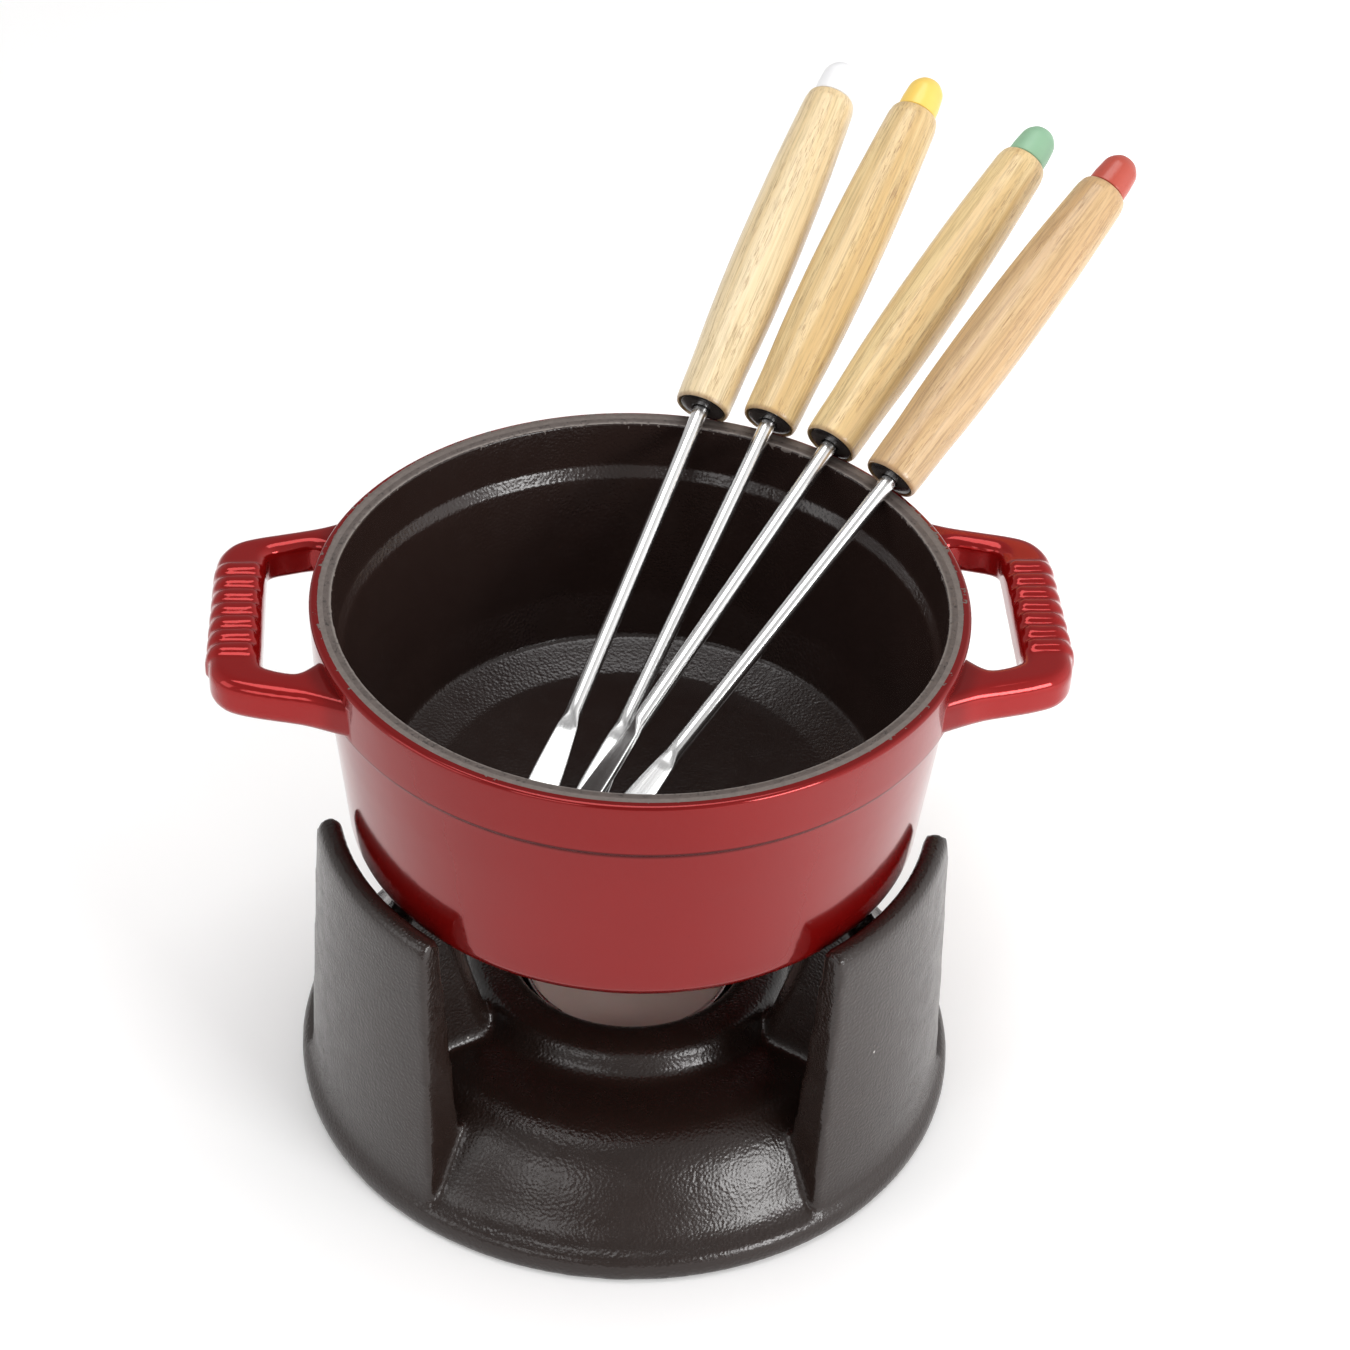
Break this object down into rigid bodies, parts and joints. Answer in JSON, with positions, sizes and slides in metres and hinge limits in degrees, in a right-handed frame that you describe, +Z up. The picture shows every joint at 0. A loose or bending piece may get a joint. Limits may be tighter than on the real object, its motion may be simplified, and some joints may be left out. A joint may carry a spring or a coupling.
{
  "type": "fondue pot set",
  "caption": "Small cast-iron fondue pot with loop handles on a walled stand over a tealight, with slim wooden-handled forks leaning on its rim.",
  "frame": {"origin": "on the floor, on the upright axis through the stand's tealight recess", "axes": "+Z up, front of the set towards -Y, the pot's handles along X within four degrees"},
  "size_m": [0.1588, 0.1745, 0.1457],
  "materials": {
    "stand_enamel": "matte black enamel with a pebbled casting texture",
    "pot_enamel": "glossy cherry-red enamel outside, matte black enamel inside, bare ground rim",
    "cup_foil": "thin bright pressed sheet",
    "wax": "paraffin wax, translucent, stands in as a matte plastic",
    "wick": "braided cotton",
    "sustainer": "thin tinned sheet",
    "fork_steel": "polished stainless steel",
    "fork_collar": "glossy black",
    "fork_wood": "blonde wood under clear lacquer",
    "cap_white": "domed plastic cap",
    "cap_yellow": "domed plastic cap",
    "cap_green": "domed plastic cap",
    "cap_red": "domed plastic cap"
  },
  "bodies": {
    "stand": {"stand": "stand_enamel"},
    "pot": {"pot": "pot_enamel"},
    "tealight": {"tealight_cup": "cup_foil", "tealight_wax": "wax", "tealight_wick": "wick", "wick_sustainer": "sustainer"},
    "fork_white": {"fork_white_steel": "fork_steel", "fork_white_collar": "fork_collar", "fork_white_handle": "fork_wood", "fork_white_cap": "cap_white"},
    "fork_yellow": {"fork_yellow_steel": "fork_steel", "fork_yellow_collar": "fork_collar", "fork_yellow_handle": "fork_wood", "fork_yellow_cap": "cap_yellow"},
    "fork_green": {"fork_green_steel": "fork_steel", "fork_green_collar": "fork_collar", "fork_green_handle": "fork_wood", "fork_green_cap": "cap_green"},
    "fork_red": {"fork_red_steel": "fork_steel", "fork_red_collar": "fork_collar", "fork_red_handle": "fork_wood", "fork_red_cap": "cap_red"}
  },
  "joints": [
    {"name": "pot_lift", "type": "slide", "parent": "stand", "child": "pot", "axis": [0, 0, 1], "range_m": [0, 0.06]},
    {"name": "tealight_lift", "type": "slide", "parent": "stand", "child": "tealight", "axis": [0, 0, 1], "range_m": [0, 0.022]},
    {"name": "fork_white_pull", "type": "slide", "parent": "pot", "child": "fork_white", "axis": [0.3298, 0.8041, 0.4945], "range_m": [0, 0.095]},
    {"name": "fork_yellow_pull", "type": "slide", "parent": "pot", "child": "fork_yellow", "axis": [0.3781, 0.7805, 0.4979], "range_m": [0, 0.095]},
    {"name": "fork_green_pull", "type": "slide", "parent": "pot", "child": "fork_green", "axis": [0.5046, 0.7265, 0.4664], "range_m": [0, 0.095]},
    {"name": "fork_red_pull", "type": "slide", "parent": "pot", "child": "fork_red", "axis": [0.5783, 0.6629, 0.4756], "range_m": [0, 0.095]}
  ]
}
